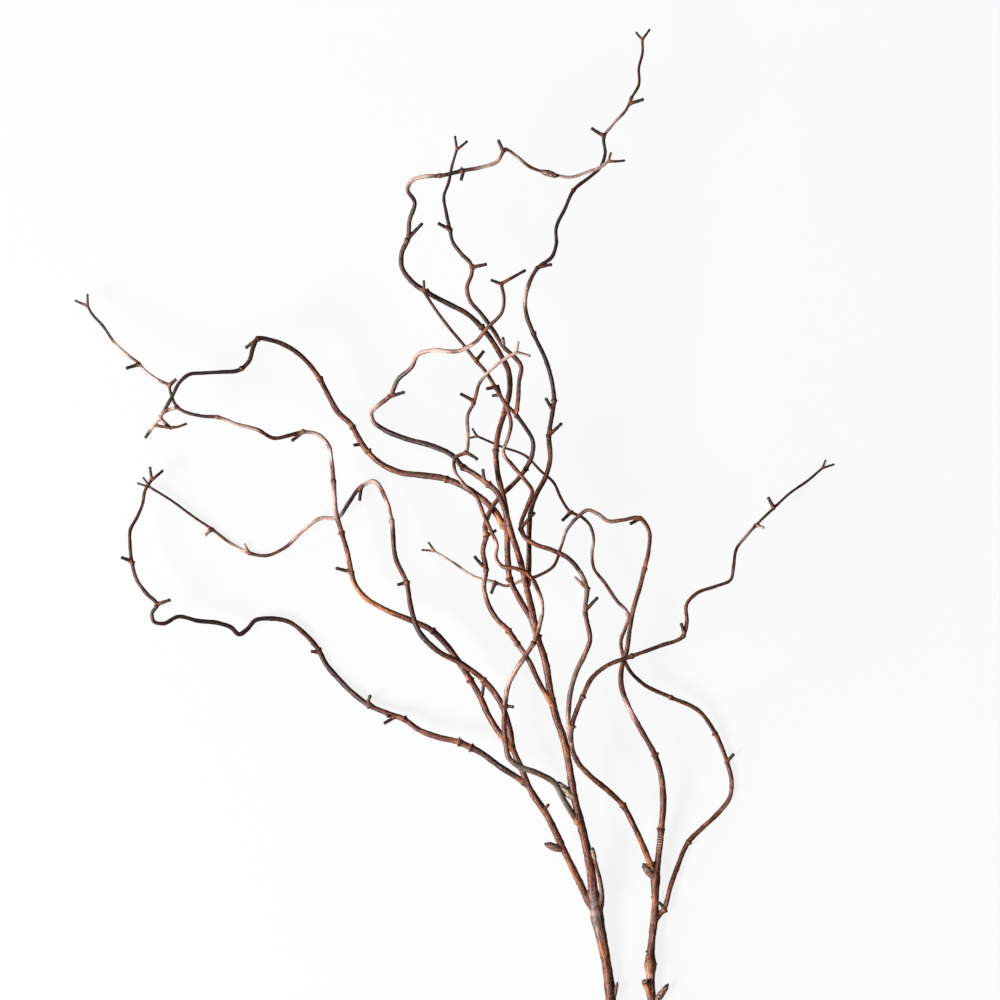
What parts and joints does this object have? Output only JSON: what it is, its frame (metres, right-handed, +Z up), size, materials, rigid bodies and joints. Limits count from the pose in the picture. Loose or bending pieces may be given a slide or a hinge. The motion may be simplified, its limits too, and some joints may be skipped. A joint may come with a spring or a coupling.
{
  "type": "curly willow stems",
  "caption": "Bare curly willow stems lying crossed, each trunk forking into long twisting branches with short side stubs, forked twig ends and pointed buds.",
  "frame": {"origin": "centre of the bounding box on the surface that the stems lie on", "axes": "+Y from the cut ends towards the tallest twig, +Z up from the surface, +X to the right seen from above"},
  "size_m": [0.7641, 1.1449, 0.135],
  "materials": {
    "red_brown_bark": "satin bark with fine lengthwise streaks",
    "dark_brown_bark": "satin bark with fine lengthwise streaks"
  },
  "bodies": {
    "root": {"left_stem": "red_brown_bark", "right_stem": "dark_brown_bark"}
  },
  "joints": []
}
